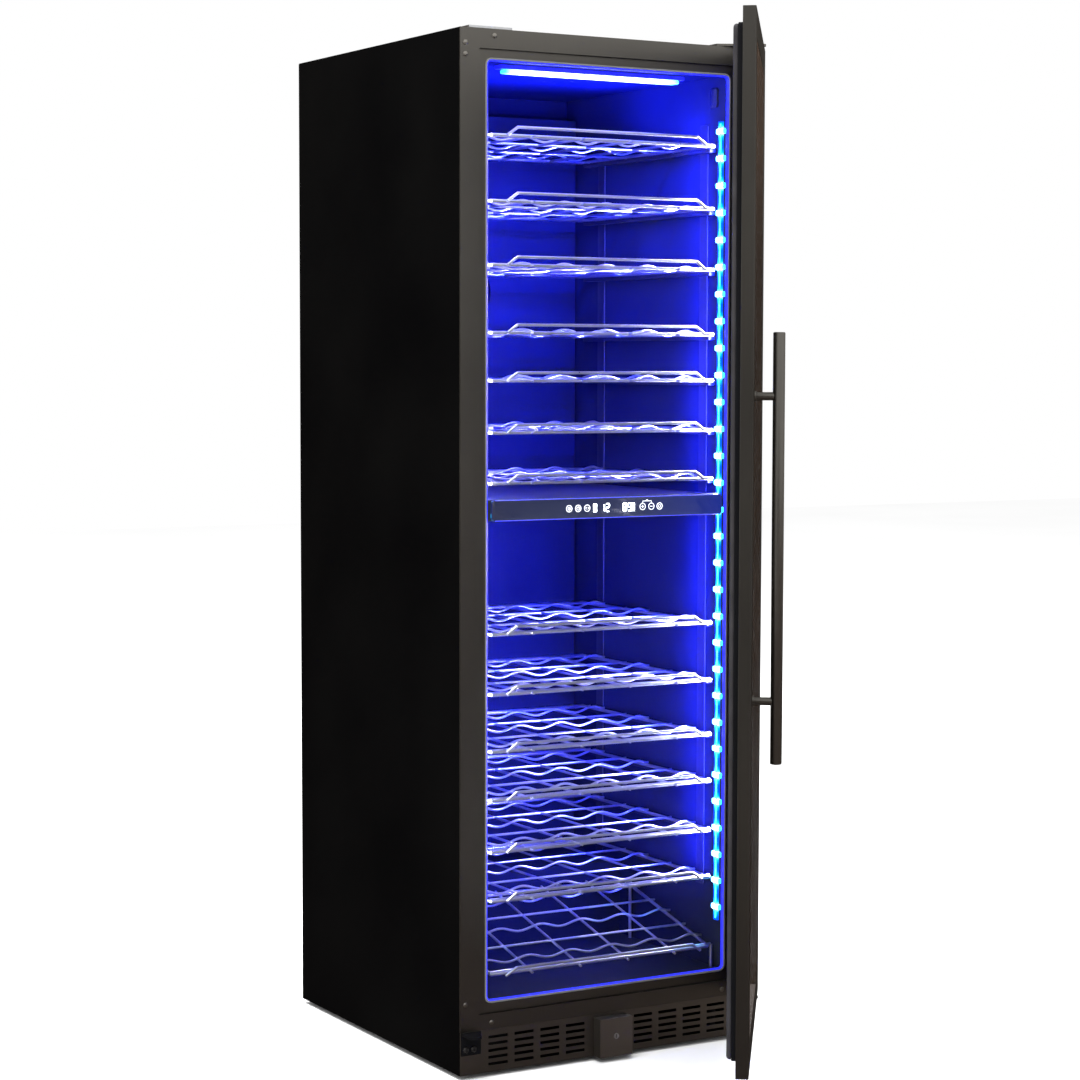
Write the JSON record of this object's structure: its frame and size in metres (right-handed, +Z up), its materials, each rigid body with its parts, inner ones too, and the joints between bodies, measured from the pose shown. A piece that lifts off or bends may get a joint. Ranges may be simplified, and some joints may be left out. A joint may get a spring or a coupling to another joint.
{
  "type": "wine cooler",
  "caption": "Tall two-zone wine cooler: dark steel front, glass door standing open, blue-lit interior with sliding wire shelves over a slotted kick grille.",
  "frame": {"origin": "on the floor, at the middle of the whole footprint with the door standing open", "axes": "+Z up, the front faces -Y, the door's hinges are on the +X side"},
  "size_m": [0.5986, 1.13, 1.7743],
  "materials": {
    "casing_black": "satin black paint",
    "dark_steel": "dark tinted stainless steel, fine brushed",
    "black_plastic": "moulded matte black",
    "liner_black": "smooth dark liner",
    "gloss_black": "gloss touch surface",
    "foam": "rigid closed-cell insulation foam",
    "bright_wire": "bright plated steel wire",
    "smoked_glass": "smoked glass",
    "rubber_grey": "soft magnetic gasket",
    "lamp_white": "lit diffuser",
    "aluminium": "mill finish",
    "zinc_plate": "zinc plated"
  },
  "bodies": {
    "cabinet": {"side_panel_left": "casing_black", "side_panel_right": "casing_black", "top_panel": "casing_black", "rear_panel": "casing_black", "power_inlet": "black_plastic", "base_pan": "zinc_plate", "front_frame": "dark_steel", "kick_grille": "dark_steel", "liner_left": "liner_black", "liner_right": "liner_black", "liner_ceiling": "liner_black", "liner_back": "liner_black", "liner_floor": "liner_black", "foam_insulation": "foam", "evaporator": "aluminium", "zone_divider": "black_plastic", "control_panel": "gloss_black", "led_strip_left": "lamp_white", "led_strip_right": "lamp_white", "ceiling_lamp": "lamp_white", "shelf_rack_left": "black_plastic", "shelf_rack_right": "black_plastic", "duct_cover_upper": "liner_black", "duct_cover_lower": "liner_black", "compressor": "casing_black", "condenser": "dark_steel", "lock_housing": "dark_steel", "hinge_bracket_lower": "casing_black", "hinge_bracket_spare": "casing_black", "hinge_bracket_upper": "dark_steel", "top_plate_spare": "zinc_plate", "bottom_rack": "bright_wire"},
    "door": {"door_frame": "dark_steel", "door_glass_outer": "smoked_glass", "door_glass_inner": "smoked_glass", "door_liner": "black_plastic", "door_gasket": "rubber_grey", "door_handle": "dark_steel"},
    "shelf_upper_1": {"shelf_upper_1": "bright_wire"},
    "shelf_upper_2": {"shelf_upper_2": "bright_wire"},
    "shelf_upper_3": {"shelf_upper_3": "bright_wire"},
    "shelf_upper_4": {"shelf_upper_4": "bright_wire"},
    "shelf_upper_5": {"shelf_upper_5": "bright_wire"},
    "shelf_upper_6": {"shelf_upper_6": "bright_wire"},
    "shelf_upper_7": {"shelf_upper_7": "bright_wire"},
    "shelf_lower_1": {"shelf_lower_1": "bright_wire"},
    "shelf_lower_2": {"shelf_lower_2": "bright_wire"},
    "shelf_lower_3": {"shelf_lower_3": "bright_wire"},
    "shelf_lower_4": {"shelf_lower_4": "bright_wire"},
    "shelf_lower_5": {"shelf_lower_5": "bright_wire"},
    "shelf_lower_6": {"shelf_lower_6": "bright_wire"},
    "fan_upper": {"fan_upper": "black_plastic"},
    "fan_lower": {"fan_lower": "black_plastic"},
    "fan_condenser": {"fan_condenser": "black_plastic"},
    "lock_cylinder": {"lock_cylinder": "zinc_plate"},
    "lock_bolt": {"lock_bolt": "zinc_plate"},
    "foot_front_left": {"foot_front_left": "black_plastic"},
    "foot_front_right": {"foot_front_right": "black_plastic"},
    "foot_rear_left": {"foot_rear_left": "black_plastic"},
    "foot_rear_right": {"foot_rear_right": "black_plastic"}
  },
  "joints": [
    {"name": "door_swing", "type": "hinge", "parent": "cabinet", "child": "door", "pos_m": [0.28172, -0.09052, 0.925], "axis": [0, 0, 1], "range_deg": [-53.6, 61.4]},
    {"name": "slide_upper_1", "type": "slide", "parent": "cabinet", "child": "shelf_upper_1", "axis": [0, -1, 0], "range_m": [0, 0.045]},
    {"name": "slide_upper_2", "type": "slide", "parent": "cabinet", "child": "shelf_upper_2", "axis": [0, -1, 0], "range_m": [0, 0.045]},
    {"name": "slide_upper_3", "type": "slide", "parent": "cabinet", "child": "shelf_upper_3", "axis": [0, -1, 0], "range_m": [0, 0.045]},
    {"name": "slide_upper_4", "type": "slide", "parent": "cabinet", "child": "shelf_upper_4", "axis": [0, -1, 0], "range_m": [0, 0.045]},
    {"name": "slide_upper_5", "type": "slide", "parent": "cabinet", "child": "shelf_upper_5", "axis": [0, -1, 0], "range_m": [0, 0.045]},
    {"name": "slide_upper_6", "type": "slide", "parent": "cabinet", "child": "shelf_upper_6", "axis": [0, -1, 0], "range_m": [0, 0.045]},
    {"name": "slide_upper_7", "type": "slide", "parent": "cabinet", "child": "shelf_upper_7", "axis": [0, -1, 0], "range_m": [0, 0.045]},
    {"name": "slide_lower_1", "type": "slide", "parent": "cabinet", "child": "shelf_lower_1", "axis": [0, -1, 0], "range_m": [0, 0.045]},
    {"name": "slide_lower_2", "type": "slide", "parent": "cabinet", "child": "shelf_lower_2", "axis": [0, -1, 0], "range_m": [0, 0.045]},
    {"name": "slide_lower_3", "type": "slide", "parent": "cabinet", "child": "shelf_lower_3", "axis": [0, -1, 0], "range_m": [0, 0.045]},
    {"name": "slide_lower_4", "type": "slide", "parent": "cabinet", "child": "shelf_lower_4", "axis": [0, -1, 0], "range_m": [0, 0.045]},
    {"name": "slide_lower_5", "type": "slide", "parent": "cabinet", "child": "shelf_lower_5", "axis": [0, -1, 0], "range_m": [0, 0.045]},
    {"name": "slide_lower_6", "type": "slide", "parent": "cabinet", "child": "shelf_lower_6", "axis": [0, -1, 0], "range_m": [0, 0.045]},
    {"name": "spin_upper", "type": "hinge", "parent": "cabinet", "child": "fan_upper", "pos_m": [-0.00178, 0.47698, 1.35], "axis": [0, 1, 0], "continuous": true},
    {"name": "spin_lower", "type": "hinge", "parent": "cabinet", "child": "fan_lower", "pos_m": [-0.00178, 0.47698, 0.62], "axis": [0, 1, 0], "continuous": true},
    {"name": "spin_condenser", "type": "hinge", "parent": "cabinet", "child": "fan_condenser", "pos_m": [-0.12928, 0.40498, 0.085], "axis": [0, 1, 0], "continuous": true},
    {"name": "lock_turn", "type": "hinge", "parent": "cabinet", "child": "lock_cylinder", "pos_m": [-0.00178, -0.07902, 0.045], "axis": [0, -1, 0], "range_deg": [0, 90]},
    {"name": "bolt_lift", "type": "slide", "parent": "cabinet", "child": "lock_bolt", "axis": [0, 0, 1], "range_m": [0, 0.018]},
    {"name": "level_front_left", "type": "slide", "parent": "cabinet", "child": "foot_front_left", "axis": [0, 0, 1], "range_m": [-0.015, 0]},
    {"name": "level_front_right", "type": "slide", "parent": "cabinet", "child": "foot_front_right", "axis": [0, 0, 1], "range_m": [-0.015, 0]},
    {"name": "level_rear_left", "type": "slide", "parent": "cabinet", "child": "foot_rear_left", "axis": [0, 0, 1], "range_m": [-0.015, 0]},
    {"name": "level_rear_right", "type": "slide", "parent": "cabinet", "child": "foot_rear_right", "axis": [0, 0, 1], "range_m": [-0.015, 0]}
  ],
  "couplings": [
    {"joint": "lock_turn", "follows": "bolt_lift", "rad_per_m": 87.26}
  ]
}
